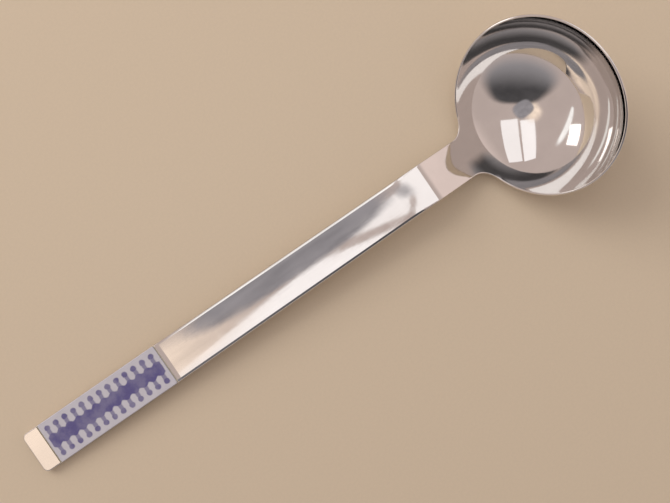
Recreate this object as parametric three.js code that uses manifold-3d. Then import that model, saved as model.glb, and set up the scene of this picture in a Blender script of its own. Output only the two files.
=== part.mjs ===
// Sauce spoon with an inlaid tile: a round pressed bowl, a neck that leaves the bowl along its wall,
// a bent shoulder and a bevelled bar handle with a glazed tile let into it near its end.
// Millimetres, +Z up. The spoon lies as on a table: it stands on the bowl and on the handle's end.

import * as THREE from 'three';
import { mergeVertices } from 'three/addons/utils/BufferGeometryUtils.js';
import Module from 'manifold-3d';

const wasm = await Module();
wasm.setup();

// Bowl: a spherical cap of sheet, measured at its rim
const BOWL_DIAMETER = 52;
const BOWL_DEPTH = 17;
const BOWL_WALL = 0.8;

// Neck: goes on from the bowl's wall in a straight line
const NECK_LENGTH = 18.2;
const NECK_WIDTH = 12.1;
const NECK_FILLET = 5;

// Shoulder: the bend between the neck and the handle, measured on the top face
const SHOULDER_BEND = THREE.MathUtils.degToRad(27.5);
const SHOULDER_RADIUS = 6;
const SHOULDER_THICKNESS = 2.2;

// Handle: a bar that widens from the shoulder to the tile and thickens towards its end
const HANDLE_LENGTH = 141;
const HANDLE_WIDTH = 13.1;
const HANDLE_END_THICKNESS = 3.2;
const HANDLE_END_ROUND = 1.6;
const TROUGH_DEPTH = 0.3;
const SIDE_BEVEL_WIDTH = 0.8;
const SIDE_BEVEL_DROP = 0.35;
const EDGE_BREAK = 0.15;
const UNDER_CHAMFER = 0.5;

// Length over which the trough and the side bevels run out behind the shoulder
const SHOULDER_RUNOUT = 9;

// Tile and its notch
const TILE_LENGTH = 42;
const TILE_THICKNESS = 1.0;
const TILE_EDGE_BEVEL = 0.3;
const TILE_CORNER = 0.6;
const TILE_DROP = 0.35;
const TILE_SEAM = 0.3;
const NOTCH_BEVEL_LENGTH = 1.5;
const END_LAND = 5.3;
const ADHESIVE_THICKNESS = 0.2;
const BED_GAP = 0.1;

// Fineness of the facets
const BOWL_SEGMENTS = 60;
const BOWL_RINGS = 15;
const LIP_STEPS = 4;
const FILLET_STEPS = 7;
const NECK_STEPS = 3;
const BEND_STEPS = 6;
const RUNOUT_STEPS = 4;
const ACROSS_STEPS = 8;
const CORNER_STEPS = 4;

// Worked out: the bowl's sphere, in the bowl's own frame (origin at the rim's centre, axis +Z, neck at -X)
const rimInner = BOWL_DIAMETER / 2 - BOWL_WALL;
const sphereInner = (rimInner ** 2 + BOWL_DEPTH ** 2) / (2 * BOWL_DEPTH);
const sphereOuter = sphereInner + BOWL_WALL;
const sphereHeight = sphereInner - BOWL_DEPTH;
const rimAngle = Math.atan2(rimInner, sphereHeight);
const handleAngle = rimAngle - SHOULDER_BEND;

// Worked out: the centre line of the top face, from the rim over the shoulder to the end
const bendTangent = SHOULDER_RADIUS * Math.tan(SHOULDER_BEND / 2);
const bendStart = NECK_LENGTH - bendTangent;
const bendLength = SHOULDER_RADIUS * SHOULDER_BEND;
const handleStart = bendStart + bendLength;
const pathLength = handleStart + HANDLE_LENGTH - bendTangent;
const endBreak = pathLength - EDGE_BREAK;
const notchFar = pathLength - END_LAND;
const notchNear = notchFar - TILE_LENGTH - 2 * TILE_SEAM;

// Steel, glaze and glue
const steel = new THREE.MeshStandardMaterial({ color: 0xc9c5c0, metalness: 1, roughness: 0.08 });
const glaze = new THREE.MeshStandardMaterial({ color: 0xe4e6ee, metalness: 0, roughness: 0.12 });
const epoxy = new THREE.MeshStandardMaterial({ color: 0xd9cfae, metalness: 0, roughness: 0.5 });

// A direction in the spoon's mirror plane, at an angle above -X, and the top face's normal beside it
const along = (angle) => new THREE.Vector3(-Math.cos(angle), 0, Math.sin(angle));
const normal = (angle) => new THREE.Vector3(Math.sin(angle), 0, Math.cos(angle));

const mix = THREE.MathUtils.lerp;
const ease = THREE.MathUtils.smoothstep;

// The point and slope of the top face's centre line at a distance from the rim.
// Before the rim it follows the bowl's inner wall.
function pathAt(distance) {
  const rim = new THREE.Vector3(-rimInner, 0, 0);
  if (distance < 0) {
    const angle = rimAngle + distance / sphereInner;
    const point = normal(angle).multiplyScalar(-sphereInner);
    point.z += sphereHeight;
    return { point, angle };
  }
  const straight = Math.min(distance, bendStart);
  const point = rim.addScaledVector(along(rimAngle), straight);
  if (distance <= bendStart) {
    return { point, angle: rimAngle };
  }
  const turned = Math.min((distance - bendStart) / SHOULDER_RADIUS, SHOULDER_BEND);
  const angle = rimAngle - turned;
  point.addScaledVector(normal(rimAngle), -SHOULDER_RADIUS);
  point.addScaledVector(normal(angle), SHOULDER_RADIUS);
  point.addScaledVector(along(angle), Math.max(distance - handleStart, 0));
  return { point, angle };
}

// The fillet between the neck's straight edge and the rim, which falls away from the neck's middle
// as a parabola: its centre, and where it meets the rim.
const rimFall = Math.cos(rimAngle) / (2 * sphereInner);
const filletCentreAside = NECK_WIDTH / 2 + NECK_FILLET;
const filletMeetsAside = filletCentreAside / (1 + 2 * rimFall * NECK_FILLET);
const filletMeets = -rimFall * filletMeetsAside ** 2;
const filletCentre = filletMeets + NECK_FILLET / Math.hypot(1, 2 * rimFall * filletMeetsAside);
const anchor = filletMeets - BOWL_WALL;

// Half the width of the neck or handle at a distance from the rim
function halfWidthAt(distance) {
  if (distance <= filletMeets) {
    return filletMeetsAside;
  }
  if (distance < filletCentre) {
    const back = distance - filletCentre;
    return filletCentreAside - Math.sqrt(Math.max(NECK_FILLET ** 2 - back ** 2, 0));
  }
  const share = THREE.MathUtils.clamp((distance - handleStart) / (notchNear - handleStart), 0, 1);
  const half = mix(NECK_WIDTH, HANDLE_WIDTH, share) / 2;
  const past = distance - (endBreak - HANDLE_END_ROUND);
  if (past <= 0) {
    return half;
  }
  return half - HANDLE_END_ROUND + Math.sqrt(Math.max(HANDLE_END_ROUND ** 2 - past ** 2, 0));
}

// The sheet grows from the bowl's wall to the shoulder, and the bar from there to its end
function thicknessAt(distance) {
  if (distance < handleStart) {
    return mix(BOWL_WALL, SHOULDER_THICKNESS, ease(distance, 0, handleStart));
  }
  const share = (distance - handleStart) / (pathLength - handleStart);
  return mix(SHOULDER_THICKNESS, HANDLE_END_THICKNESS, share);
}

// One cross-section as pairs of (aside, height over the centre line): along the top, then back underneath.
// inset draws the section in where it is buried in the bowl's wall, and at the handle's end face.
function sectionAt(distance, inset) {
  const half = halfWidthAt(distance);
  const thickness = thicknessAt(distance);
  const arch = 1 - ease(distance, 0, bendStart);
  const handle = ease(distance, handleStart, handleStart + SHOULDER_RUNOUT);
  const chamfer = UNDER_CHAMFER * thickness / HANDLE_END_THICKNESS;
  const lowered = THREE.MathUtils.clamp(1 + (distance - notchNear) / NOTCH_BEVEL_LENGTH, 0, 1);
  const drop = TILE_DROP * lowered;
  const bevelWidth = mix(EDGE_BREAK, SIDE_BEVEL_WIDTH, handle);
  const bevelDrop = mix(EDGE_BREAK, SIDE_BEVEL_DROP, handle) * (1 - lowered) + EDGE_BREAK * lowered;
  const trough = TROUGH_DEPTH * handle * (1 - lowered);
  const archAt = (aside) => arch * (sphereInner - Math.sqrt(sphereInner ** 2 - aside ** 2));

  const top = [[-half, archAt(half) - drop - bevelDrop - inset]];
  const under = [[half, archAt(half) - thickness + chamfer]];
  for (let step = 0; step <= ACROSS_STEPS; step += 1) {
    const share = 2 * step / ACROSS_STEPS - 1;
    const aside = share * (half - bevelWidth);
    top.push([aside, archAt(aside) - drop - trough * (1 - share ** 2) - inset]);
    const asideUnder = -share * (half - chamfer);
    under.push([asideUnder, archAt(asideUnder) - thickness + inset]);
  }
  top.push([half, archAt(half) - drop - bevelDrop - inset]);
  under.push([-half, archAt(half) - thickness + chamfer]);
  return { top, under };
}

// Distances along the centre line at which the form changes
function stations() {
  const found = [anchor, filletMeets];
  for (let step = 1; step <= FILLET_STEPS; step += 1) {
    const turn = step / FILLET_STEPS * Math.PI / 2;
    found.push(filletCentre - (filletCentre - filletMeets) * Math.cos(turn));
  }
  for (let step = 1; step < NECK_STEPS; step += 1) {
    found.push(mix(filletCentre, bendStart, step / NECK_STEPS));
  }
  for (let step = 0; step <= BEND_STEPS; step += 1) {
    found.push(bendStart + bendLength * step / BEND_STEPS);
  }
  for (let step = 1; step <= RUNOUT_STEPS; step += 1) {
    found.push(handleStart + SHOULDER_RUNOUT * step / RUNOUT_STEPS);
  }
  found.push(notchNear - NOTCH_BEVEL_LENGTH, notchNear, notchFar);
  for (let step = 0; step <= CORNER_STEPS; step += 1) {
    const turn = step / CORNER_STEPS * Math.PI / 2;
    found.push(endBreak - HANDLE_END_ROUND * (1 - Math.sin(turn)));
  }
  found.push(pathLength);
  return found;
}

// A closed skin through cross-sections, each a top row and an under row of as many points
function loft(sections) {
  const rings = sections.map(({ top, under }) => [...top, ...under]);
  const size = rings[0].length;
  const positions = rings.flat().flatMap((point) => point.toArray());
  const index = [];
  const quad = (a, b, c, d) => index.push(a, c, b, a, d, c);
  for (let ring = 0; ring + 1 < rings.length; ring += 1) {
    for (let corner = 0; corner < size; corner += 1) {
      const next = (corner + 1) % size;
      const here = ring * size;
      const there = here + size;
      quad(here + corner, there + corner, there + next, here + next);
    }
  }
  const last = (rings.length - 1) * size;
  for (let step = 0; step + 1 < size / 2; step += 1) {
    const mate = size - 1 - step;
    quad(step, step + 1, mate - 1, mate);
    quad(last + step, last + mate, last + mate - 1, last + step + 1);
  }
  const geometry = new THREE.BufferGeometry();
  geometry.setAttribute('position', new THREE.Float32BufferAttribute(positions, 3));
  geometry.setIndex(index);
  return geometry;
}

// A geometry as a solid for joining and cutting, without the flat triangles at a lathe's poles
function toSolid(geometry) {
  const bare = geometry.clone();
  bare.deleteAttribute('normal');
  bare.deleteAttribute('uv');
  const merged = mergeVertices(bare, 1e-4);
  const corners = merged.index.array;
  const triangles = [];
  for (let i = 0; i < corners.length; i += 3) {
    const [a, b, c] = corners.slice(i, i + 3);
    if (a !== b && b !== c && c !== a) {
      triangles.push(a, b, c);
    }
  }
  const vertProperties = new Float32Array(merged.attributes.position.array);
  const triVerts = new Uint32Array(triangles);
  return new wasm.Manifold(new wasm.Mesh({ numProp: 3, vertProperties, triVerts }));
}

function toGeometry(solid) {
  const mesh = solid.getMesh();
  const geometry = new THREE.BufferGeometry();
  geometry.setAttribute('position', new THREE.BufferAttribute(mesh.vertProperties, 3));
  geometry.setIndex(new THREE.BufferAttribute(mesh.triVerts, 1));
  geometry.computeVertexNormals();
  return geometry;
}

// The bowl: its wall's section is turned about the bowl's axis. The section runs from the middle
// of the outside over the rounded lip to the middle of the inside. The facets start half a step aside,
// so that the bowl lies on the middle of a facet and not on a corner.
function bowlGeometry() {
  const profile = [];
  const onWall = (radius, angle) => {
    profile.push(new THREE.Vector2(radius * Math.sin(angle), sphereHeight - radius * Math.cos(angle)));
  };
  for (let ring = 0; ring <= BOWL_RINGS; ring += 1) {
    onWall(sphereOuter, rimAngle * ring / BOWL_RINGS);
  }
  const lipRadius = BOWL_WALL / 2;
  for (let step = 1; step < LIP_STEPS; step += 1) {
    const turn = Math.PI * step / LIP_STEPS;
    onWall(
      sphereInner + lipRadius * (1 + Math.cos(turn)),
      rimAngle + lipRadius * Math.sin(turn) / sphereInner,
    );
  }
  for (let ring = BOWL_RINGS; ring >= 0; ring -= 1) {
    onWall(sphereInner, rimAngle * ring / BOWL_RINGS);
  }
  profile[0].x = 0;
  profile[profile.length - 1].x = 0;
  return new THREE.LatheGeometry(profile, BOWL_SEGMENTS, Math.PI / BOWL_SEGMENTS).rotateX(Math.PI / 2);
}

// The neck and handle as one bar, its foot buried in the bowl's wall
function barGeometry() {
  const buried = BOWL_WALL / 8;
  return loft(stations().map((distance) => {
    const { point, angle } = pathAt(distance);
    const drawnIn = distance === pathLength ? EDGE_BREAK : 0;
    const inset = distance <= filletMeets ? buried : drawnIn;
    const place = ([aside, height]) => {
      const spot = point.clone().addScaledVector(normal(angle), height);
      spot.y = aside;
      return spot;
    };
    const { top, under } = sectionAt(distance, inset);
    return { top: top.map(place), under: under.map(place) };
  }));
}

// The handle's own frame: origin on its top face where the shoulder ends, +X back along the handle,
// +Z out of the top face
const handleFrame = new THREE.Group();
handleFrame.position.copy(pathAt(handleStart).point);
handleFrame.rotation.y = handleAngle;
handleFrame.updateMatrix();

const tileMiddle = handleStart - (notchNear + notchFar) / 2;
const tileTop = -TILE_DROP;
const tileUnder = tileTop - TILE_THICKNESS;
const notchFloor = tileUnder - 2 * BED_GAP - ADHESIVE_THICKNESS;
const tileWidth = 2 * halfWidthAt(notchNear);

// The notch is cut square across the whole handle
function notchGeometry() {
  const clear = HANDLE_END_THICKNESS;
  return new THREE.BoxGeometry(notchFar - notchNear, 2 * tileWidth, clear)
    .translate(tileMiddle, 0, notchFloor + clear / 2)
    .applyMatrix4(handleFrame.matrix);
}

function spoonBody() {
  const whole = toSolid(bowlGeometry()).add(toSolid(barGeometry()));
  const mesh = new THREE.Mesh(toGeometry(whole.subtract(toSolid(notchGeometry()))), steel);
  mesh.name = 'spoon_body';
  return mesh;
}

// A rectangle with rounded corners, centred on the origin
function roundedRectangle(length, width, corner) {
  const x = length / 2;
  const y = width / 2;
  const shape = new THREE.Shape();
  shape.moveTo(corner - x, -y);
  shape.absarc(x - corner, corner - y, corner, -Math.PI / 2, 0);
  shape.absarc(x - corner, y - corner, corner, 0, Math.PI / 2);
  shape.absarc(corner - x, y - corner, corner, Math.PI / 2, Math.PI);
  shape.absarc(corner - x, corner - y, corner, Math.PI, 1.5 * Math.PI);
  return shape;
}

function inlayTile() {
  const edge = TILE_EDGE_BEVEL;
  const outline = roundedRectangle(TILE_LENGTH - 2 * edge, tileWidth - 2 * edge, TILE_CORNER);
  const geometry = new THREE.ExtrudeGeometry(outline, {
    depth: TILE_THICKNESS - 2 * edge,
    bevelThickness: edge,
    bevelSize: edge,
    bevelSegments: 2,
    curveSegments: CORNER_STEPS,
  });
  const mesh = new THREE.Mesh(geometry, glaze);
  mesh.name = 'inlay_tile';
  mesh.position.set(tileMiddle, 0, tileUnder + edge);
  return mesh;
}

// The glue stops short of the tile's edge all round
function inlayAdhesive() {
  const outline = roundedRectangle(
    TILE_LENGTH - 2 * TILE_EDGE_BEVEL,
    tileWidth - 2 * (TILE_EDGE_BEVEL + UNDER_CHAMFER),
    TILE_CORNER,
  );
  const geometry = new THREE.ExtrudeGeometry(outline, {
    depth: ADHESIVE_THICKNESS,
    bevelEnabled: false,
    curveSegments: CORNER_STEPS,
  });
  const mesh = new THREE.Mesh(geometry, epoxy);
  mesh.name = 'inlay_adhesive';
  mesh.position.set(tileMiddle, 0, notchFloor + BED_GAP);
  return mesh;
}

handleFrame.add(inlayAdhesive(), inlayTile());

// Laid down: turned about Y until the bowl and the handle's lower end edge stand on one level
const endEdge = pathAt(endBreak);
endEdge.point.addScaledVector(normal(endEdge.angle), -thicknessAt(endBreak));
const endX = endEdge.point.x;
const endZ = endEdge.point.z - sphereHeight;
const layTurn = Math.PI + Math.asin(sphereOuter / Math.hypot(endX, endZ)) - Math.atan2(endZ, endX);

const laid = new THREE.Group();
laid.rotation.y = -layTurn;
laid.add(spoonBody(), handleFrame);

// The origin is under the middle of the spoon, on the level that it lies on
const spoon = new THREE.Group();
spoon.add(laid);
const box = new THREE.Box3().setFromObject(spoon, true);
laid.position.set(-(box.min.x + box.max.x) / 2, 0, -box.min.z);

export default spoon;
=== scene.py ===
from math import asin, atan2, cos, hypot, pi, radians, sin, sqrt, tan

import bmesh
import bpy
from bpy.props import FloatProperty, FloatVectorProperty, IntProperty, PointerProperty
from bpy.types import Operator, Panel, PropertyGroup
from mathutils import Euler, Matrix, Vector


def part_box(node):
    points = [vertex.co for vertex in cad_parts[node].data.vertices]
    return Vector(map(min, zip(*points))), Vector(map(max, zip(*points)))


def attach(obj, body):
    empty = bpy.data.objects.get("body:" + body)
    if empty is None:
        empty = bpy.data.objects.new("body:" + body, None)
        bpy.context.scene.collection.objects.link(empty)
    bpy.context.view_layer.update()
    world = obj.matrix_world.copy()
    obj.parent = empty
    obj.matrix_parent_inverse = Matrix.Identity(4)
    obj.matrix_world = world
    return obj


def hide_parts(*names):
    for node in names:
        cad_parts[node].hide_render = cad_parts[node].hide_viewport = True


bl_info = {
    "name": "Sauce spoon",
    "version": (1, 0, 0),
    "blender": (4, 5, 0),
    "location": "View3D > Sidebar > Spoon",
    "description": "Models a polished sauce spoon with a glazed tile let into its handle",
    "category": "Mesh",
}

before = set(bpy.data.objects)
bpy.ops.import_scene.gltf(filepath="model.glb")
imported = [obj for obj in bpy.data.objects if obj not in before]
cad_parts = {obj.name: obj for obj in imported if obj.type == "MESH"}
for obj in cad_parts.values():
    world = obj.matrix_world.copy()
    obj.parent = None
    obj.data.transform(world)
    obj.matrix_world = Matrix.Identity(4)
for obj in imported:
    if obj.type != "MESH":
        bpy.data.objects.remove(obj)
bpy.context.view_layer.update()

# The pieces are shaped in millimetres and brought to metres when they are put in place.
MM = 0.001
# The bowl's wall is drawn this much thinner, so that its round outside stays in the box of the solids.
WALL_ALLOWANCE = 0.06
# Broken edge of the handle's end in the solids, on which the spoon lies.
EDGE_BREAK = 0.15
# A length that counts as none.
TINY = 1e-6


def length(name, description, millimetres):
    return FloatProperty(name=name, description=description, default=millimetres * MM, unit="LENGTH")


def angle(name, description, degrees):
    return FloatProperty(name=name, description=description, default=radians(degrees), subtype="ANGLE")


def colour(name, description, value):
    return FloatVectorProperty(name=name, description=description, default=value, subtype="COLOR",
                               size=3, min=0, max=1)


class SpoonBodySizes(PropertyGroup):
    """Sizes of the one-piece steel body."""

    bowl_diameter: length("Bowl diameter", "Across the outside of the rim", 52)
    bowl_depth: length("Bowl depth", "From the rim's plane to the deepest point inside", 17)
    bowl_wall: length("Bowl wall", "Thickness of the bowl's sheet", 0.8)
    lip: length("Lip", "How far the rounded lip goes on past the rim's plane", 0.25)
    neck_length: length("Neck length", "From the rim to where the top faces would meet", 18.2)
    neck_width: length("Neck width", "Across the neck between its fillets and the shoulder", 12.1)
    neck_fillet: length("Neck fillet", "Radius between the rim and the neck's edge", 5)
    shoulder_bend: angle("Shoulder bend", "Turn from the neck to the handle", 27.5)
    shoulder_radius: length("Shoulder radius", "Radius of the bend on the top face", 6)
    shoulder_thickness: length("Shoulder thickness", "Thickness behind the bend", 2.2)
    handle_length: length("Handle length", "From where the top faces would meet to the end", 141)
    handle_width: length("Handle width", "Across the handle at the tile", 13.1)
    end_thickness: length("End thickness", "Thickness at the handle's end", 3.2)
    end_round: length("End round", "Radius of the corners of the end", 1.6)
    trough_depth: length("Trough depth", "How far the top is hollowed across", 0.3)
    bevel_width: length("Side bevel width", "Width of the bevels beside the trough", 0.8)
    bevel_drop: length("Side bevel drop", "How far the bevels fall", 0.35)
    runout: length("Runout", "Length over which trough and bevels begin", 9)
    edge_round: length("Edge round", "Radius of the polished edges", 0.3)


class SpoonTileSizes(PropertyGroup):
    """Sizes of the tile, its notch and its print."""

    tile_length: length("Tile length", "Along the handle", 42)
    tile_thickness: length("Tile thickness", "Body and glaze together", 1)
    tile_drop: length("Tile drop", "How far the tile's top lies under the handle's edge", 0.35)
    tile_seam: length("Seam", "Open joint at each short side", 0.3)
    lead_in: length("Lead-in", "Length of the slope that leads down to the tile", 1.5)
    end_land: length("End land", "Steel left behind the tile", 5.3)
    bed: length("Bed", "Room for the glue under the tile", 0.4)
    corner: length("Corner", "Radius of the tile's corners", 0.6)
    edge: length("Edge", "Radius of the glazed edge", 0.3)
    columns: IntProperty(name="Columns", description="Dots along the tile", default=13, min=1)
    pitch: length("Pitch", "From dot to dot", 3.12)
    dot_row: length("Dot row", "From the middle of the tile to the dots", 4.25)
    dot_size: length("Dot size", "Across a dot", 1.8)
    stalk_width: length("Stalk width", "Across the line from a dot to the band", 1.25)
    band_width: length("Band width", "Across the band, without its scallops", 4.1)
    scallop: length("Scallop", "How far the band's edge waves", 0.42)


class SpoonFinishes(PropertyGroup):
    """Colours of the surfaces."""

    steel: colour("Steel", "Polished stainless steel", (0.79, 0.77, 0.75))
    glaze: colour("Glaze", "White glaze of the tile", (0.578, 0.562, 0.635))
    print_blue: colour("Print", "Cobalt of the ornament", (0.069, 0.060, 0.238))
    glue: colour("Glue", "Cured epoxy", (0.55, 0.49, 0.36))
    floor: colour("Floor", "Plain pale floor", (0.71, 0.585, 0.443))
    surround: colour("Surround", "Light from all round", (0.52, 0.46, 0.425))
    mirrored: colour("Mirrored room", "What polished faces show of the surround", (0.58, 0.475, 0.44))


class SpoonStageSizes(PropertyGroup):
    """Camera and lamps."""

    camera_place: FloatVectorProperty(name="Camera place", description="Where the camera stands",
                                      default=(0.00885, -0.001, 0.2975), subtype="TRANSLATION")
    camera_turn: angle("Camera turn", "Turn about the line of sight", -34.58)
    camera_lens: FloatProperty(name="Lens", description="Focal length", default=53.73, unit="CAMERA")
    panel_height: length("Panel height", "From the floor to the large lamps", 1000)
    panel_power: FloatProperty(name="Panel power", description="Of each large lamp, in watts",
                               default=0.8, min=0)


class SpoonSettings(PropertyGroup):
    """All that a user may change."""

    body: PointerProperty(type=SpoonBodySizes)
    tile: PointerProperty(type=SpoonTileSizes)
    finish: PointerProperty(type=SpoonFinishes)
    stage: PointerProperty(type=SpoonStageSizes)


# Lengths and angles that follow from the sizes


def ease(value, start, end):
    """0 before start, 1 after end, and a smooth step between them."""
    share = min(max((value - start) / (end - start), 0), 1)
    return share * share * (3 - 2 * share)


def mix(a, b, share):
    return a + (b - a) * share


class SpoonForm:
    """The spoon's form in millimetres: the bowl's sphere, and the top face from rim to end."""

    def __init__(self, settings):
        body, tile = settings.body, settings.tile
        for group in (body, tile):
            for name, prop in group.bl_rna.properties.items():
                if prop.type == "FLOAT":
                    setattr(self, name, getattr(group, name) / (MM if prop.unit == "LENGTH" else 1))
        self.rim = self.bowl_diameter / 2 - self.bowl_wall
        self.drawn_wall = self.bowl_wall - WALL_ALLOWANCE
        self.inner = (self.rim ** 2 + self.bowl_depth ** 2) / (2 * self.bowl_depth)
        self.centre = self.inner - self.bowl_depth
        self.rim_angle = atan2(self.rim, self.centre)
        self.handle_angle = self.rim_angle - self.shoulder_bend

        tangent = self.shoulder_radius * tan(self.shoulder_bend / 2)
        self.bend_start = self.neck_length - tangent
        self.handle_start = self.bend_start + self.shoulder_radius * self.shoulder_bend
        self.handle_run = self.handle_length - tangent
        self.notch_far = self.handle_run - self.end_land
        self.notch_near = self.notch_far - self.tile_length - 2 * self.tile_seam
        self.notch_middle = -(self.notch_near + self.notch_far) / 2
        self.notch_floor = -self.tile_drop - self.tile_thickness - self.bed
        self.tile_middle = Vector((self.notch_middle, 0, -self.tile_drop - self.tile_thickness / 2))

        fall = cos(self.rim_angle) / (2 * self.inner)
        self.fillet_aside = self.neck_width / 2 + self.neck_fillet
        meets_aside = self.fillet_aside / (1 + 2 * fall * self.neck_fillet)
        lean = hypot(1, 2 * fall * meets_aside)
        self.fillet_from = asin(2 * fall * meets_aside / lean)
        self.fillet_at = -fall * meets_aside ** 2 + self.neck_fillet / lean

    def slope(self):
        """The handle's slope when the spoon lies on its bowl and its end."""
        a, b = self.rim_angle, self.handle_angle
        r, run, thick = self.shoulder_radius, self.handle_run - EDGE_BREAK, self.end_thickness
        x = -self.rim - cos(a) * self.bend_start - r * sin(a) + (r - thick) * sin(b) - run * cos(b)
        z = sin(a) * self.bend_start - r * cos(a) + (r - thick) * cos(b) + run * sin(b) - self.centre
        outer = self.inner + self.bowl_wall
        return pi + asin(outer / hypot(x, z)) - atan2(z, x) - b

    def arch(self, aside, distance):
        """How far the neck's edge stands over its middle, as a carried-on part of the bowl's wall."""
        rise = self.inner - sqrt(self.inner ** 2 - aside ** 2)
        return rise * (1 - ease(distance, 0, self.bend_start))

    def neck_thickness(self, distance):
        return mix(self.drawn_wall, self.shoulder_thickness, ease(distance, 0, self.handle_start))

    def bar_thickness(self, run):
        return mix(self.shoulder_thickness, self.end_thickness, run / self.handle_run)

    def bar_half_width(self, run):
        return mix(self.neck_width, self.handle_width, min(run / self.notch_near, 1)) / 2


def current_form():
    return SpoonForm(bpy.context.scene.spoon)


# Work in the 3D view


def clear_choice():
    if bpy.context.object and bpy.context.object.mode != "OBJECT":
        bpy.ops.object.mode_set(mode="OBJECT")
    bpy.ops.object.select_all(action="DESELECT")


def named(name):
    piece = bpy.context.object
    piece.name = name
    piece.data.name = name
    return piece


def new_block(name, middle, size):
    """A box at its size and place, with both kept in its mesh."""
    bpy.ops.mesh.primitive_cube_add(size=1, location=middle, scale=size)
    piece = named(name)
    bpy.ops.object.transform_apply(location=True, rotation=True, scale=True)
    return piece


def face_outwards():
    bpy.ops.mesh.select_all(action="SELECT")
    bpy.ops.mesh.normals_make_consistent(inside=False)


def choose(piece, kind, test):
    """In edit mode, selects the vertices, edges or faces that pass the test, and nothing else."""
    bpy.ops.mesh.select_mode(type=kind)
    bpy.ops.mesh.select_all(action="DESELECT")
    mesh = bmesh.from_edit_mesh(piece.data)
    for thing in {"VERT": mesh.verts, "EDGE": mesh.edges, "FACE": mesh.faces}[kind]:
        if test(thing):
            thing.select_set(True)
    mesh.select_flush_mode()
    bmesh.update_edit_mesh(piece.data)


def chosen_faces(piece):
    return {face.index for face in bmesh.from_edit_mesh(piece.data).faces if face.select}


def turned(piece, turn, shift=(0, 0, 0), scale=1.0):
    """Turns the whole piece about Y, then moves it, with the place kept in its mesh."""
    bpy.ops.object.mode_set(mode="OBJECT")
    piece.rotation_euler = (0, turn, 0)
    piece.location = shift
    piece.scale = (scale, scale, scale)
    bpy.ops.object.transform_apply(location=True, rotation=True, scale=True)


def put_in_place(piece, form):
    """From the handle's own frame in millimetres to the row's frame in metres."""
    low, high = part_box("inlay_tile")
    middle = (low + high) / 2
    turn = Euler((0, -form.slope(), 0))
    tile = form.tile_middle * MM
    tile.rotate(turn)
    turned(piece, turn.y, middle - tile, MM)


class Sweep:
    """A strip of cap faces that is drawn out row by row, each row with a top and an under side."""

    def __init__(self, piece, caps):
        self.piece = piece
        self.caps = caps

    def draw_out(self):
        choose(self.piece, "FACE", lambda face: face.index in self.caps)
        bpy.ops.mesh.extrude_region()
        self.caps = chosen_faces(self.piece)

    def row(self, side):
        """The row's vertices from one edge to the other, as numbers and places."""
        mesh = bmesh.from_edit_mesh(self.piece.data)
        mesh.faces.ensure_lookup_table()
        weights = mesh.verts.layers.deform.verify()
        group = self.piece.vertex_groups[side].index
        verts = {vert for number in self.caps for vert in mesh.faces[number].verts if group in vert[weights]}
        return [(vert.index, vert.co.copy()) for vert in sorted(verts, key=lambda vert: vert.co.y)]

    def pick(self, side, columns=None):
        """Selects a row, or only the columns that are as far from its middle as columns says."""
        row = self.row(side)
        middle = len(row) // 2
        wanted = {number for place, (number, _) in enumerate(row)
                  if columns is None or abs(place - middle) in columns}
        choose(self.piece, "VERT", lambda vert: vert.index in wanted)

    def lay(self, side, middle, edge):
        """Moves a row so that its middle and its edge come to the places given, keeping its bow."""
        row = self.row(side)
        here, rim = row[len(row) // 2][1], row[-1][1]
        self.pick(side)
        factors = []
        for axis in range(3):
            had, wanted = rim[axis] - here[axis], edge[axis] - middle[axis]
            factors.append(wanted / had if abs(had) > TINY else 1.0)
        bpy.ops.transform.resize(value=factors, center_override=here)
        bpy.ops.transform.translate(value=Vector(middle) - here)

    def bend(self, turn, centre):
        choose(self.piece, "FACE", lambda face: face.index in self.caps)
        bpy.ops.transform.rotate(value=turn, orient_axis="Y", center_override=centre)


# The steel body


def bowl_of(form, segments=180, rings=34):
    """The bowl: a section of its wall, drawn as two arcs and spun about the bowl's axis."""
    bpy.ops.mesh.primitive_plane_add(size=1)
    piece = named("spoon_body_steel")
    bpy.ops.object.mode_set(mode="EDIT")
    bpy.ops.mesh.select_all(action="SELECT")
    bpy.ops.mesh.merge(type="CENTER")
    outer = form.inner + form.drawn_wall
    lip = form.rim_angle + form.lip / form.inner
    centre = (0, 0, form.centre)
    bpy.ops.transform.translate(value=(0, 0, form.centre - outer))
    bpy.ops.mesh.spin(steps=rings, angle=lip, center=centre, axis=(0, -1, 0))
    bpy.ops.mesh.extrude_region()
    wall = form.drawn_wall
    bpy.ops.transform.translate(value=(wall * sin(lip), 0, wall * cos(lip)))
    bpy.ops.mesh.spin(steps=rings, angle=lip, center=centre, axis=(0, 1, 0))
    bpy.ops.mesh.select_all(action="SELECT")
    bpy.ops.mesh.spin(steps=segments, angle=2 * pi, center=centre, axis=(0, 0, 1))
    bpy.ops.mesh.select_all(action="SELECT")
    bpy.ops.mesh.remove_doubles(threshold=0.002)
    face_outwards()

    bpy.ops.object.mode_set(mode="OBJECT")
    between = form.inner + wall / 2
    sides = {"top": [], "under": []}
    for vert in piece.data.vertices:
        inside = (vert.co - Vector(centre)).length < between
        sides["top" if inside else "under"].append(vert.index)
    for side, numbers in sides.items():
        piece.vertex_groups.new(name=side).add(numbers, 1, "REPLACE")
    return piece


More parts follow.
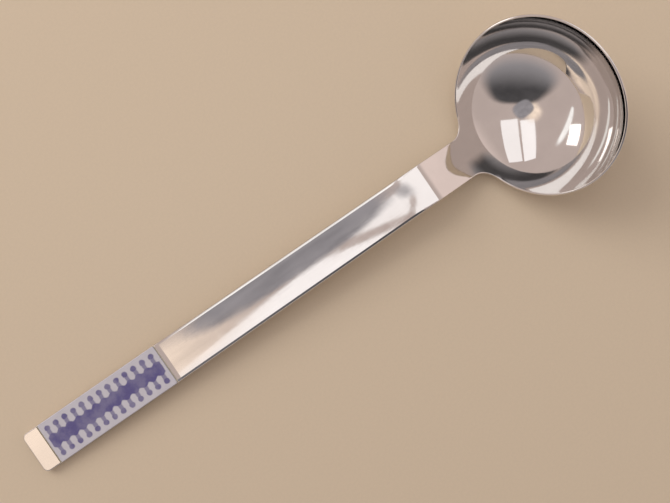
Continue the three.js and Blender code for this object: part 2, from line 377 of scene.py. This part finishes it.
def draw_neck(form, piece, half_angle=radians(24), fillet_steps=10, neck_steps=7):
    """Draws the neck out of the rim, through its fillets, in the frame that has the neck along -X."""
    a = form.rim_angle
    hub = Vector((form.rim * cos(a), 0, form.rim * sin(a)))
    axis = Vector((-sin(a), 0, cos(a)))
    turned(piece, -a, hub)
    bpy.ops.object.mode_set(mode="EDIT")
    weights = bmesh.from_edit_mesh(piece.data).verts.layers.deform.verify()

    def on_lip(face):
        sides = {group for vert in face.verts for group in vert[weights].keys()}
        arm = face.calc_center_median() - hub
        arm -= axis * arm.dot(axis)
        aside = atan2(abs(arm.y), hypot(arm.x, arm.z))
        return len(sides) == 2 and arm.x < 0 and aside < half_angle

    choose(piece, "FACE", on_lip)
    sweep = Sweep(piece, chosen_faces(piece))
    row = sweep.row("top")
    start_fall = row[-1][1].x - row[len(row) // 2][1].x

    def lay(distance, fall, half, thickness):
        rise = form.arch(half, distance)
        for side, height in (("top", 0), ("under", -thickness)):
            sweep.lay(side, (-distance, 0, height), (-distance + fall, half, height + rise))

    for step in range(1, fillet_steps + 1):
        turn = mix(form.fillet_from, pi / 2, step / fillet_steps)
        fall = start_fall * (1 - step / fillet_steps)
        half = form.fillet_aside - form.neck_fillet * sin(turn)
        distance = form.lip + form.fillet_at - form.neck_fillet * cos(turn) + fall
        sweep.draw_out()
        lay(distance, fall, half, form.neck_thickness(distance))
    for step in range(1, neck_steps + 1):
        distance = mix(form.fillet_at + form.lip, form.bend_start, step / neck_steps)
        sweep.draw_out()
        lay(distance, 0, form.neck_width / 2, form.neck_thickness(distance))
    return sweep


def bend_shoulder(form, sweep, steps=9):
    """Turns the strip over the shoulder, and leaves the piece in the handle's own frame."""
    centre = Vector((-form.bend_start, 0, -form.shoulder_radius))
    bent = form.handle_start - form.bend_start
    for step in range(1, steps + 1):
        sweep.draw_out()
        sweep.bend(form.shoulder_bend / steps, centre)
        distance = form.bend_start + bent * step / steps
        grown = form.neck_thickness(distance) - form.neck_thickness(distance - bent / steps)
        turn = form.shoulder_bend * step / steps
        sweep.pick("under")
        bpy.ops.transform.translate(value=(grown * sin(turn), 0, -grown * cos(turn)))
    end = centre + Vector((-sin(form.shoulder_bend), 0, cos(form.shoulder_bend))) * form.shoulder_radius
    end.rotate(Euler((0, form.shoulder_bend, 0)))
    turned(sweep.piece, form.shoulder_bend, -end)
    bpy.ops.object.mode_set(mode="EDIT")


def draw_handle(form, sweep, runout_steps=7, bar_steps=8, corner_steps=5):
    """Draws the bar out to its end, with the trough, the side bevels and the slope down to the tile."""
    columns = len(sweep.row("top")) // 2
    inner = set(range(columns))

    def lay(run, trough, bevel_drop, bevel_width, drop):
        half = form.bar_half_width(run)
        sweep.draw_out()
        for side, height in (("top", -drop), ("under", -form.bar_thickness(run))):
            row = sweep.row(side)
            here = row[columns][1]
            sweep.pick(side)
            bpy.ops.transform.translate(value=(-run - here.x, 0, 0))
            bpy.ops.transform.resize(value=(1, half / row[-1][1].y, 0), center_override=(-run, 0, here.z))
            bpy.ops.transform.translate(value=(0, 0, height - here.z))
        sweep.pick("top", inner)
        near = sweep.row("top")[-2][1].y
        bpy.ops.transform.resize(value=(1, (half - bevel_width) / near, 1), center_override=(-run, 0, 0))
        for column in range(columns):
            hollow = trough * (1 - (column / (columns - 1)) ** 2)
            if hollow > TINY:
                sweep.pick("top", {column})
                bpy.ops.transform.translate(value=(0, 0, -hollow))
        if bevel_drop > 0:
            sweep.pick("top", {columns})
            bpy.ops.transform.translate(value=(0, 0, -bevel_drop))

    row = sweep.row("top")
    plain = row[-1][1].y - row[-2][1].y
    for step in range(1, runout_steps + 1):
        share = ease(step, 0, runout_steps)
        lay(form.runout * step / runout_steps, form.trough_depth * share, form.bevel_drop * share,
            mix(plain, form.bevel_width, share), 0)
    full = (form.trough_depth, form.bevel_drop, form.bevel_width)
    for step in range(1, bar_steps + 1):
        lay(mix(form.runout, form.notch_near - form.lead_in, step / bar_steps), *full, 0)

    # The slope ends close before the notch and under the tile's top. The notch is cut later.
    before_notch, under_tile, in_notch, before_end = 0.06, 0.3, 2, 0.6
    lay(form.notch_near - before_notch, 0, 0, form.bevel_width, form.tile_drop + under_tile)
    for run in (form.notch_near + in_notch, form.handle_run - form.end_round - before_end, form.handle_run):
        lay(run, 0, 0, form.bevel_width, form.tile_drop)

    half = form.handle_width / 2
    straight = columns - corner_steps
    for side in ("top", "under"):
        for column in range(columns, 0, -1):
            turn = max(column - straight, 0) / corner_steps * pi / 2
            aside = min(column / straight, 1) * (half - form.end_round) + form.end_round * sin(turn)
            had = sweep.row(side)[columns + column][1].y
            sweep.pick(side, {column})
            bpy.ops.transform.resize(value=(1, aside / had, 1), center_override=(0, 0, 0))
            bpy.ops.transform.translate(value=(form.end_round * (1 - cos(turn)), 0, 0))


def round_edges(form, piece, segments=5, edge_angle=radians(40), crease_angle=radians(9)):
    """Rounds the polished edges, and keeps the creases beside the trough crisp."""
    bpy.ops.mesh.select_all(action="SELECT")
    bpy.ops.mesh.remove_doubles(threshold=0.001)
    face_outwards()
    level, nearly_level, margin = 0.999, 0.85, 1
    flats = ((1, form.notch_near + margin), (-1, margin))

    def choose_flat(facing, start):
        choose(piece, "FACE", lambda face: face.normal.z * facing > level
               and face.calc_center_median().x < -start)

    for flat in flats:
        choose_flat(*flat)
        bpy.ops.mesh.dissolve_faces()
    choose(piece, "EDGE", lambda edge: edge.is_manifold and edge.calc_face_angle() > edge_angle)
    bpy.ops.mesh.bevel(offset=form.edge_round, segments=segments, profile=0.5, affect="EDGES",
                       clamp_overlap=False)
    first, last, lowest = -form.runout / 3, -form.notch_near - 0.1, -1

    def crease(edge):
        near, far = sorted((vert.co for vert in edge.verts), key=lambda place: -place.x)
        on_top = all(face.normal.z > nearly_level for face in edge.link_faces)
        return (edge.is_manifold and on_top and last < near.x < first and far.z > lowest
                and edge.calc_face_angle() > crease_angle)

    choose(piece, "EDGE", crease)
    bpy.ops.mesh.mark_sharp()
    for flat in flats:
        choose_flat(*flat)
        bpy.ops.mesh.region_to_loop()
        bpy.ops.mesh.mark_sharp()


def cut_notch(form, piece, clearance=3):
    """Cuts the notch for the tile across the bar, with a block that stands clear of its sides and top."""
    clear_choice()
    size = (form.notch_far - form.notch_near, form.handle_width + 2 * clearance, clearance - form.notch_floor)
    cutter = new_block("notch_cutter", (form.notch_middle, 0, size[2] / 2 + form.notch_floor), size)
    clear_choice()
    piece.select_set(True)
    bpy.context.view_layer.objects.active = piece
    cut = piece.modifiers.new("notch", "BOOLEAN")
    cut.operation = "DIFFERENCE"
    cut.solver = "EXACT"
    cut.object = cutter
    bpy.ops.object.modifier_apply(modifier=cut.name)
    bpy.data.objects.remove(cutter)


def smooth_piece(piece, degrees=32, weight=70):
    """Smooth faces, with the flat ones keeping their direction."""
    bpy.ops.object.shade_smooth_by_angle(angle=radians(degrees))
    weigh = piece.modifiers.new("weighted", "WEIGHTED_NORMAL")
    weigh.keep_sharp = True
    weigh.weight = weight
    bpy.ops.object.modifier_apply(modifier=weigh.name)


# Materials


def give(tree, socket, value):
    """Links a socket to another one, or sets its value."""
    if isinstance(value, bpy.types.NodeSocket):
        tree.links.new(value, socket)
    else:
        socket.default_value = value


def add(tree, kind, inputs=None, **settings):
    """A node with its settings; each of its inputs gets a value or a link."""
    node = tree.nodes.new(kind)
    for name, value in settings.items():
        setattr(node, name, value)
    for name, value in (inputs or {}).items():
        give(tree, node.inputs[name], value)
    return node


def sum_of(tree, operation, a, b=0.0, clamp=False):
    """One step of arithmetic between two sockets or numbers."""
    return add(tree, "ShaderNodeMath", {0: a, 1: b}, operation=operation, use_clamp=clamp).outputs[0]


def ramp(tree, value, start, end, low=0.0, high=1.0):
    """A value brought from one range to another by a smooth step."""
    return add(tree, "ShaderNodeMapRange",
               {"Value": value, "From Min": start, "From Max": end, "To Min": low, "To Max": high},
               interpolation_type="SMOOTHSTEP").outputs["Result"]


def spread(tree, share, low, high):
    """A share brought to a range."""
    return ramp(tree, share, 0, 1, low, high)


def contrast(tree, noise, low=0.3, high=0.7):
    """A noise with the range that most of its values lie in spread out to a share."""
    return ramp(tree, noise.outputs["Fac"], low, high)


def blend(tree, share, a, b):
    """Two colours mixed by a share."""
    return add(tree, "ShaderNodeMix", {0: share, 6: a, 7: b}, data_type="RGBA").outputs[2]


def shade(rgb, factor=1.0):
    return (rgb[0] * factor, rgb[1] * factor, rgb[2] * factor, 1)


def varied(tree, share, rgb, low, high):
    """A colour whose brightness goes from one factor to another."""
    return blend(tree, share, shade(rgb, low), shade(rgb, high))


def new_group(name, inputs, outputs):
    """An empty node group with named sockets."""
    group = bpy.data.node_groups.new(name, "ShaderNodeTree")
    for socket, (kind, default) in inputs.items():
        made = group.interface.new_socket(name=socket, in_out="INPUT", socket_type=kind)
        if default is not None:
            made.default_value = default
    for socket in outputs:
        group.interface.new_socket(name=socket, in_out="OUTPUT", socket_type="NodeSocketFloat")
    return group, group.nodes.new("NodeGroupInput").outputs, group.nodes.new("NodeGroupOutput").inputs


def fine_unevenness():
    """Group: cloudy smears and a fine grain, as every worked surface has them."""
    name = "fine unevenness"
    if name in bpy.data.node_groups:
        return bpy.data.node_groups[name]
    group, given, result = new_group(
        name,
        {"Vector": ("NodeSocketVector", None), "Cloud size": ("NodeSocketFloat", 8.0),
         "Grain size": ("NodeSocketFloat", 0.4)},
        ("Clouds", "Grain"))
    for size, socket, detail in (("Cloud size", "Clouds", 3.0), ("Grain size", "Grain", 2.0)):
        rate = sum_of(group, "DIVIDE", 1.0, given[size])
        noise = add(group, "ShaderNodeTexNoise",
                    {"Vector": given["Vector"], "Scale": rate, "Detail": detail, "Roughness": 0.55})
        group.links.new(contrast(group, noise), result[socket])
    return group


def uneven(tree, place, cloud, grain):
    return add(tree, "ShaderNodeGroup", {"Vector": place, "Cloud size": cloud, "Grain size": grain},
               node_tree=fine_unevenness()).outputs


def new_material(name):
    """A material with one Principled shader, and the place on the piece in millimetres."""
    material = bpy.data.materials.new(name)
    material.use_nodes = True
    tree = material.node_tree
    tree.nodes.clear()
    shader = add(tree, "ShaderNodeBsdfPrincipled")
    add(tree, "ShaderNodeOutputMaterial", {"Surface": shader.outputs["BSDF"]})
    where = add(tree, "ShaderNodeTexCoord")
    mapping = add(tree, "ShaderNodeMapping",
                  {"Vector": where.outputs["Object"], "Scale": (MM, MM, MM)}, vector_type="TEXTURE")
    return material, tree, shader, mapping


def feed(tree, shader, **sockets):
    """Gives the shader's sockets their links and constants."""
    for name, value in sockets.items():
        give(tree, shader.inputs[name.replace("_", " ")], value)


def bumped(tree, shader, height, depth):
    """A relief on the surface, with its depth in millimetres."""
    bump = add(tree, "ShaderNodeBump", {"Height": height, "Strength": 1.0, "Distance": depth * MM})
    feed(tree, shader, Normal=bump.outputs["Normal"])


def steel_material(finish):
    material, tree, shader, mapping = new_material("polished steel")
    place = mapping.outputs["Vector"]
    marks = uneven(tree, place, cloud=9.0, grain=0.5)
    lines = add(tree, "ShaderNodeMapping", {"Vector": place, "Scale": (0.06, 3.5, 3.5)})
    polish = add(tree, "ShaderNodeTexNoise",
                 {"Vector": lines.outputs["Vector"], "Scale": 1.0, "Detail": 3.0, "Roughness": 0.6})
    # The lines of polishing run along the handle and fade out at the neck.
    along = add(tree, "ShaderNodeSeparateXYZ", {"Vector": place}).outputs["X"]
    fade_from, fade_to = 30.0, 42.0
    streaks = sum_of(tree, "MULTIPLY", contrast(tree, polish), ramp(tree, along, fade_from, fade_to, 1.0, 0.0))
    feed(tree, shader, Metallic=1.0,
         Base_Color=varied(tree, marks["Clouds"], finish.steel, 0.97, 1.02),
         Roughness=sum_of(tree, "ADD", spread(tree, marks["Clouds"], 0.035, 0.075),
                          spread(tree, streaks, 0, 0.045)))
    bumped(tree, shader, sum_of(tree, "ADD", marks["Clouds"], spread(tree, streaks, 0, 0.04)), depth=0.004)
    return material


def glue_material(finish):
    material, tree, shader, mapping = new_material("cured epoxy")
    marks = uneven(tree, mapping.outputs["Vector"], cloud=2.5, grain=0.25)
    feed(tree, shader,
         Base_Color=varied(tree, marks["Clouds"], finish.glue, 0.85, 1.05),
         Roughness=spread(tree, marks["Grain"], 0.35, 0.5))
    bumped(tree, shader, marks["Clouds"], depth=0.03)
    return material


def printed_border():
    """Group: a scalloped band with a stalk and a dot on both sides at each pitch, as three masks."""
    floats = ("Pitch", "Half length", "Dot row", "Dot radius", "Stalk half width", "Band half width",
              "Scallop", "Softness")
    inputs = {"Vector": ("NodeSocketVector", None)}
    inputs.update({name: ("NodeSocketFloat", 1.0) for name in floats})
    group, given, result = new_group("printed border", inputs, ("Band", "Stalks", "Dots"))

    def inside(value, limit, factor=1.0):
        soft = sum_of(group, "MULTIPLY", given["Softness"], factor)
        return ramp(group, value, sum_of(group, "SUBTRACT", limit, soft),
                    sum_of(group, "ADD", limit, soft), 1.0, 0.0)

    parts = add(group, "ShaderNodeSeparateXYZ", {"Vector": given["Vector"]}).outputs
    along = sum_of(group, "ABSOLUTE", parts["X"])
    aside = sum_of(group, "ABSOLUTE", parts["Y"])
    half_pitch = sum_of(group, "MULTIPLY", given["Pitch"], 0.5)
    from_column = sum_of(group, "PINGPONG", along, half_pitch)
    within = inside(along, given["Half length"])

    arm = add(group, "ShaderNodeCombineXYZ",
              {"X": from_column, "Y": sum_of(group, "SUBTRACT", aside, given["Dot row"])})
    reach = add(group, "ShaderNodeVectorMath", {0: arm.outputs["Vector"]}, operation="LENGTH")
    dots = inside(reach.outputs["Value"], given["Dot radius"])
    stalks = sum_of(group, "MULTIPLY", inside(from_column, given["Stalk half width"]),
                    inside(aside, given["Dot row"]))
    turn = sum_of(group, "MULTIPLY", sum_of(group, "DIVIDE", from_column, half_pitch), pi)
    wave = sum_of(group, "MULTIPLY", sum_of(group, "COSINE", turn), given["Scallop"])
    band = inside(aside, sum_of(group, "ADD", wave, given["Band half width"]), factor=1.2)
    for name, mask in (("Band", band), ("Stalks", stalks), ("Dots", dots)):
        group.links.new(sum_of(group, "MULTIPLY", mask, within), result[name])
    return group


def tile_material(finish, form, centre, columns):
    material, tree, shader, mapping = new_material("glazed tile")
    mapping.inputs["Location"].default_value = centre
    mapping.inputs["Rotation"].default_value = (0, -form.slope(), 0)
    place = mapping.outputs["Vector"]
    marks = uneven(tree, place, cloud=5.0, grain=0.55)

    # The drawing wavers a little, as by hand.
    waver = add(tree, "ShaderNodeTexNoise", {"Vector": place, "Scale": 0.55, "Detail": 2.0})
    drift = add(tree, "ShaderNodeVectorMath",
                {0: waver.outputs["Color"], 1: (0.5, 0.5, 0.5)}, operation="SUBTRACT")
    drift = add(tree, "ShaderNodeVectorMath", {0: drift.outputs["Vector"], "Scale": 0.55}, operation="SCALE")
    drawn = add(tree, "ShaderNodeVectorMath", {0: place, 1: drift.outputs["Vector"]}, operation="ADD")
    # The border ends short of a whole pitch.
    short = 0.12
    border = add(tree, "ShaderNodeGroup", {
        "Vector": drawn.outputs["Vector"], "Pitch": form.pitch,
        "Half length": (columns - short) * form.pitch / 2, "Dot row": form.dot_row,
        "Dot radius": form.dot_size / 2, "Stalk half width": form.stalk_width / 2,
        "Band half width": form.band_width / 2, "Scallop": form.scallop, "Softness": 0.2,
    }, node_tree=printed_border()).outputs

    band = sum_of(tree, "MULTIPLY", border["Band"], spread(tree, marks["Clouds"], 0.82, 1.0))
    dots = sum_of(tree, "MULTIPLY", border["Dots"], spread(tree, marks["Clouds"], 0.95, 0.75))
    stalk_ink = 0.7
    stalks = sum_of(tree, "MULTIPLY", border["Stalks"], stalk_ink)
    ink = sum_of(tree, "MAXIMUM", sum_of(tree, "MAXIMUM", band, dots), stalks, clamp=True)
    bare = varied(tree, marks["Clouds"], finish.glaze, 0.96, 1.03)
    inked = varied(tree, marks["Grain"], finish.print_blue, 1.07, 0.95)
    feed(tree, shader, Base_Color=blend(tree, ink, bare, inked),
         Roughness=spread(tree, marks["Clouds"], 0.10, 0.17), Coat_Weight=0.35, Coat_Roughness=0.06)
    bumped(tree, shader, marks["Clouds"], depth=0.012)
    return material


def floor_material(finish):
    material, tree, shader, mapping = new_material("plain floor")
    marks = uneven(tree, mapping.outputs["Vector"], cloud=25.0, grain=0.8)
    feed(tree, shader,
         Base_Color=varied(tree, marks["Grain"], finish.floor, 0.985, 1.01),
         Roughness=spread(tree, marks["Grain"], 0.62, 0.72))
    return material


def card_material(name, level, tint=(1, 0.94, 0.98), core=0.3, foot=1.0, roundness=3.0):
    """A card for the steel to mirror, with round corners and soft edges. It glows with painted light: its
    emission at a set level gives all its brightness, and no lamp lights it.

    It is full from its middle out to the core, and its foot may glow brighter by a factor, as a painted
    brighter band.
    """
    material, tree, shader, mapping = new_material(name)
    mapping.inputs["Scale"].default_value = (1, 1, 1)
    marks = uneven(tree, mapping.outputs["Vector"], cloud=0.25, grain=0.01)
    parts = add(tree, "ShaderNodeSeparateXYZ", {"Vector": mapping.outputs["Vector"]}).outputs
    aside = [sum_of(tree, "POWER", sum_of(tree, "ABSOLUTE", parts[axis]), roundness) for axis in ("X", "Y")]
    edge = sum_of(tree, "POWER", sum_of(tree, "ADD", *aside), 1 / roundness)
    tone = varied(tree, marks["Clouds"], tint, level * 0.85, level * 1.15)
    foot_end, border = -0.42, 0.5
    feed(tree, shader, Base_Color=(0, 0, 0, 1), Specular_IOR_Level=0, Emission_Strength=1,
         Emission_Color=blend(tree, ramp(tree, parts["Y"], foot_end, 0.0), shade(tint, level * foot), tone),
         Alpha=ramp(tree, edge, core, border, 1.0, 0.0))
    return material


def dress(piece, material, slot, *nodes):
    """Gives a finished piece its material, its body and the nodes that it stands for."""
    piece.data.materials.clear()
    piece.data.materials.append(material)
    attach(piece, "root")
    if nodes:
        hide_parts(*nodes)


# The stage, in metres

FLOOR_SIZE = 30
UNDER_BOWL = Vector((0.0703, 0, 0))
# Tints as red, green and blue
COOL, WARM, WARMER = (0.9, 0.96, 1.0), (1, 0.98, 0.96), (1, 0.97, 0.93)
GREY, WHITE, CREAM = (1, 0.94, 1.0), (1, 0.97, 0.95), (1, 0.82, 0.68)


class Room:
    """Lamps and cards, placed from a point under the bowl along the picture's right and up."""

    def __init__(self, turn):
        self.right = Vector((cos(turn), sin(turn), 0))
        self.up = Vector((-sin(turn), cos(turn), 0))

    def place(self, right, up, height):
        return UNDER_BOWL + self.right * right + self.up * up + Vector((0, 0, height))

    def lamp(self, name, place, size, power, tint, turns=None):
        """A lamp that the camera doesn't see, turned as told or towards the bowl."""
        if turns is None:
            turns = (place - UNDER_BOWL).to_track_quat("Z", "Y").to_euler()
        bpy.ops.object.light_add(type="AREA", location=place, rotation=turns)
        made = named(name)
        made.data.shape = "RECTANGLE"
        made.data.size, made.data.size_y = size
        made.data.energy = power
        made.data.color = tint
        made.visible_camera = False
        return made

    def card(self, name, place, size, material, turns=(0, 0, 0)):
        """A card that glows with painted light of its own and shows only in what mirrors it."""
        bpy.ops.mesh.primitive_plane_add(size=1, location=place, rotation=turns)
        made = named(name)
        made.scale = (*size, 1)
        made.data.materials.append(material)
        made.visible_camera = False
        made.visible_shadow = False
        return made


def set_lamps(room, stage):
    """Two long panels overhead, a low lamp for the bowl's wall and a soft one that isn't mirrored."""
    high = stage.panel_height
    long, shift, skew = 1.12 * high, 0.44 * high, radians(6)
    for name, left, right in (("panel_left", -0.55, -0.225), ("panel_right", -0.175, 0.18)):
        room.lamp(name, room.place((left + right) / 2 * high, shift, high), ((right - left) * high, long),
                  stage.panel_power, COOL, turns=(0, 0, stage.camera_turn + skew))
    room.lamp("panel_low", room.place(right=-1.1, up=0.28, height=0.27), (0.42, 0.3), power=0.6, tint=WARM)
    soft = room.lamp("soft_side", room.place(right=-1.05, up=0.7, height=1.05), (1, 1), power=9.5, tint=WARMER)
    soft.visible_glossy = False


def set_cards(room, stage):
    """What the steel mirrors besides the lamps: cards that glow with painted light, over the spoon, before it
    and along its edge.
    """
    over_camera = 0.014
    room.card("card_over", (-0.053, -0.048, stage.camera_place[2] + over_camera), (0.164, 0.122),
              card_material("glowing grey card", level=0.33, tint=GREY, core=0.39), turns=(0, 0, radians(4)))
    # The dark card glows with painted light, 4.5 times brighter at its foot than at its top.
    room.card("card_front", room.place(right=-0.06, up=-0.45, height=0.5), (1.08, 1.12),
              card_material("glowing dark card", level=0.08, foot=4.5), turns=(pi / 2, 0, stage.camera_turn))
    room.card("card_cream", (-0.48, 0, 0.97), (0.62, 0.6),
              card_material("glowing cream card", level=1.15, tint=CREAM, core=0.12))
    edge = room.card("card_edge", (-0.008, 0.05, 0.047), (0.12, 0.012),
                     card_material("glowing white card", level=1.15, tint=WHITE, core=0.4), turns=(radians(-48), 0, 0))
    edge.visible_diffuse = False


def set_surround(scene, finish):
    """Light from all round, weaker from below. Polished faces mirror a plain room, paler at the bowl's end."""
    world = bpy.data.worlds.new("surround")
    scene.world = world
    world.use_nodes = True
    tree = world.node_tree
    where = add(tree, "ShaderNodeTexCoord")
    parts = add(tree, "ShaderNodeSeparateXYZ", {"Vector": where.outputs["Generated"]}).outputs
    glow = varied(tree, ramp(tree, parts["Z"], -0.05, 0.75), finish.surround, 0.72, 1.08)
    mirrored = varied(tree, ramp(tree, parts["X"], 0.45, 0.8), finish.mirrored, 1.0, 1.5)
    ray = add(tree, "ShaderNodeLightPath").outputs["Is Glossy Ray"]
    tree.links.new(blend(tree, ray, glow, mirrored), tree.nodes["Background"].inputs["Color"])


def set_camera(scene, stage):
    bpy.ops.object.camera_add(location=stage.camera_place, rotation=(0, 0, stage.camera_turn))
    camera = named("camera")
    camera.data.lens = stage.camera_lens
    camera.data.sensor_width = 36
    camera.data.clip_start = 0.005
    scene.camera = camera
    scene.view_settings.view_transform = "Standard"


# Operators


class SPOON_OT_body(Operator):
    """Model the one-piece steel body: bowl, neck, shoulder and handle"""

    bl_idname = "spoon.body"
    bl_label = "Steel body"

    def execute(self, context):
        form = current_form()
        clear_choice()
        piece = bowl_of(form)
        sweep = draw_neck(form, piece)
        bend_shoulder(form, sweep)
        draw_handle(form, sweep)
        round_edges(form, piece)
        cut_notch(form, piece)
        put_in_place(piece, form)
        smooth_piece(piece)
        piece.vertex_groups.clear()
        dress(piece, steel_material(context.scene.spoon.finish), "polished_steel", "spoon_body")
        return {"FINISHED"}


class SPOON_OT_glue(Operator):
    """Model the glue that beds the tile and fills its end seams"""

    bl_idname = "spoon.glue"
    bl_label = "Glue bed"

    def execute(self, context):
        form = current_form()
        clear_choice()
        # Room left in the notch's length, the bar's width and the bed's height, and at the tile's ends
        less_length, less_width, less_height, off_tile = 0.04, 0.3, 0.02, 0.03
        # Share of the tile's thickness that the glue rises in the end seams, and how far its sides sink
        seam_fill, sink = 0.6, 0.24
        middle = Vector((form.notch_middle, 0, form.notch_floor + form.bed / 2))
        size = (form.notch_far - form.notch_near - less_length, form.handle_width - less_width,
                form.bed - less_height)
        piece = new_block("inlay_glue_bed", middle, size)
        bpy.ops.object.mode_set(mode="EDIT")
        half = form.tile_length / 2 + off_tile
        for x in (middle.x - half, middle.x + half):
            bpy.ops.mesh.select_all(action="SELECT")
            bpy.ops.mesh.bisect(plane_co=(x, 0, 0), plane_no=(1, 0, 0))
        upwards, close = 0.9, 0.01
        choose(piece, "FACE", lambda face: face.normal.z > upwards
               and abs(face.calc_center_median().x - middle.x) > half)
        bpy.ops.mesh.extrude_region()
        bpy.ops.transform.translate(value=(0, 0, form.tile_thickness * seam_fill))
        bpy.ops.mesh.select_all(action="SELECT")
        bpy.ops.mesh.bisect(plane_co=middle, plane_no=(0, 0, 1))
        choose(piece, "VERT", lambda vert: abs(vert.co.z - middle.z) < close)
        bpy.ops.transform.resize(value=(1, 1 - sink / form.handle_width, 1), center_override=middle)
        face_outwards()
        put_in_place(piece, form)
        smooth_piece(piece, degrees=40)
        dress(piece, glue_material(context.scene.spoon.finish), "epoxy", "inlay_adhesive")
        return {"FINISHED"}


class SPOON_OT_tile(Operator):
    """Model the glazed tile with its printed ornament"""

    bl_idname = "spoon.tile"
    bl_label = "Glazed tile"

    def execute(self, context):
        form = current_form()
        clear_choice()
        segments = 5
        size = (form.tile_length, form.handle_width, form.tile_thickness)
        piece = new_block("inlay_tile_glazed", form.tile_middle, size)
        bpy.ops.object.mode_set(mode="EDIT")
        upright = form.tile_thickness / 2
        choose(piece, "EDGE", lambda edge: abs(edge.verts[0].co.z - edge.verts[1].co.z) > upright)
        bpy.ops.mesh.bevel(offset=form.corner, segments=segments, affect="EDGES")
        just_below_top, steep = -form.tile_drop - 0.01, 1.0
        choose(piece, "EDGE", lambda edge: min(vert.co.z for vert in edge.verts) > just_below_top
               and edge.calc_face_angle() > steep)
        bpy.ops.mesh.bevel(offset=form.edge, segments=segments, affect="EDGES")
        put_in_place(piece, form)
        smooth_piece(piece, degrees=50)
        low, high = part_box("inlay_tile")
        settings = context.scene.spoon
        material = tile_material(settings.finish, form, (low + high) / 2, settings.tile.columns)
        dress(piece, material, "glazed_tile", "inlay_tile")
        return {"FINISHED"}


class SPOON_OT_stage(Operator):
    """Set up the floor, the lamps, the cards and the camera"""

    bl_idname = "spoon.stage"
    bl_label = "Stage"

    def execute(self, context):
        scene = context.scene
        stage, finish = scene.spoon.stage, scene.spoon.finish
        clear_choice()
        bpy.ops.mesh.primitive_plane_add(size=FLOOR_SIZE)
        floor = named("floor")
        floor.data.materials.append(floor_material(finish))
        room = Room(stage.camera_turn)
        set_lamps(room, stage)
        set_cards(room, stage)
        set_surround(scene, finish)
        set_camera(scene, stage)
        return {"FINISHED"}


class SPOON_PT_sidebar(Panel):
    """Lists the steps and the sizes"""

    bl_label = "Sauce spoon"
    bl_space_type = "VIEW_3D"
    bl_region_type = "UI"
    bl_category = "Spoon"

    def draw(self, context):
        layout = self.layout
        for step in STEPS:
            layout.operator(step.bl_idname)
        for group in ("body", "tile", "finish", "stage"):
            box = layout.box()
            settings = getattr(context.scene.spoon, group)
            for name in settings.__annotations__:
                box.prop(settings, name)


STEPS = (SPOON_OT_body, SPOON_OT_glue, SPOON_OT_tile, SPOON_OT_stage)
CLASSES = (SpoonBodySizes, SpoonTileSizes, SpoonFinishes, SpoonStageSizes, SpoonSettings, *STEPS,
           SPOON_PT_sidebar)


def register():
    for cls in CLASSES:
        bpy.utils.register_class(cls)
    bpy.types.Scene.spoon = PointerProperty(type=SpoonSettings)


def unregister():
    del bpy.types.Scene.spoon
    for cls in reversed(CLASSES):
        bpy.utils.unregister_class(cls)


def main():
    register()
    bpy.ops.spoon.body()
    bpy.ops.spoon.glue()
    bpy.ops.spoon.tile()
    bpy.ops.spoon.stage()


if __name__ == "__main__":
    main()
